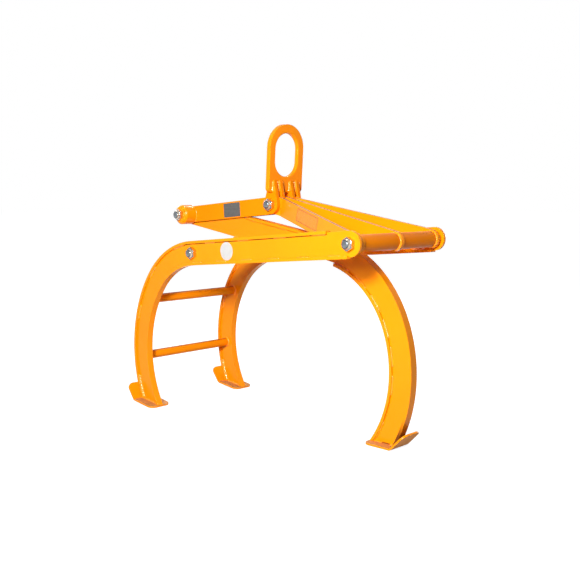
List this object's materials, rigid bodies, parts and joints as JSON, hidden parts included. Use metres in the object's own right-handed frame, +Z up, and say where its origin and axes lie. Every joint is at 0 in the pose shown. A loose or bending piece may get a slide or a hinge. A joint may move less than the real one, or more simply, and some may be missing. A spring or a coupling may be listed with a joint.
{
  "type": "rock grapple",
  "caption": "Scissor grapple for lifting stones: crossed tongs with curved legs and flat feet, closed by links that pull up to a lifting eye.",
  "frame": {"origin": "on the ground under the middle of the grapple's box, with the tongs fully open", "axes": "+X from the two-legged tong's feet towards the one-legged tong's foot, +Y from the front leg to the back leg, +Z up"},
  "size_m": [0.9448, 0.421, 0.8428],
  "materials": {
    "paint": "gloss",
    "zinc": "satin",
    "steel": "satin"
  },
  "bodies": {
    "left_tong": {"left_front_web": "paint", "left_front_outer_strip": "paint", "left_front_inner_strip": "paint", "left_front_foot": "paint", "left_back_web": "paint", "left_back_outer_strip": "paint", "left_back_inner_strip": "paint", "left_back_foot": "paint", "upper_rung": "paint", "lower_rung": "paint", "scissor_shaft": "steel", "stop_tube": "paint", "stop_stud": "steel", "stop_nuts": "zinc", "right_pivot_stud": "steel", "right_pivot_nuts": "zinc"},
    "right_tong": {"right_web": "paint", "right_outer_strip": "paint", "right_inner_strip": "paint", "right_foot": "paint", "scissor_hub": "paint", "stop_pad": "paint"},
    "right_link": {"right_link_front_plate": "paint", "right_link_middle_plate": "paint", "right_link_back_plate": "paint", "right_link_cross_tube": "paint"},
    "left_link": {"left_link_front_plate": "paint", "left_link_back_plate": "paint", "left_link_front_boss": "paint", "left_link_back_boss": "paint", "left_pivot_stud": "steel", "left_pivot_nuts": "zinc"},
    "lifting_eye": {"eye_plate": "paint", "front_outer_lug": "paint", "front_inner_lug": "paint", "back_inner_lug": "paint", "back_outer_lug": "paint", "eye_pin": "steel", "eye_pin_nuts": "zinc"}
  },
  "joints": [
    {"name": "right_tong_hinge", "type": "hinge", "parent": "left_tong", "child": "right_tong", "pos_m": [0.00947, 0, 0.4965], "axis": [0, 1, 0], "range_deg": [0, 60]},
    {"name": "right_link_hinge", "type": "hinge", "parent": "left_tong", "child": "right_link", "pos_m": [0.40807, 0, 0.52997], "axis": [0, 1, 0], "range_deg": [0, 60]},
    {"name": "left_link_hinge", "type": "hinge", "parent": "right_tong", "child": "left_link", "pos_m": [-0.38773, 0, 0.58528], "axis": [0, 1, 0], "range_deg": [-60, 0]},
    {"name": "eye_hinge", "type": "hinge", "parent": "left_link", "child": "lifting_eye", "pos_m": [0.01087, 0, 0.61876], "axis": [0, 1, 0], "range_deg": [-30, 30]}
  ],
  "couplings": [
    {"joint": "right_link_hinge", "follows": "right_tong_hinge", "ratio": 1},
    {"joint": "left_link_hinge", "follows": "right_tong_hinge", "ratio": -1}
  ]
}
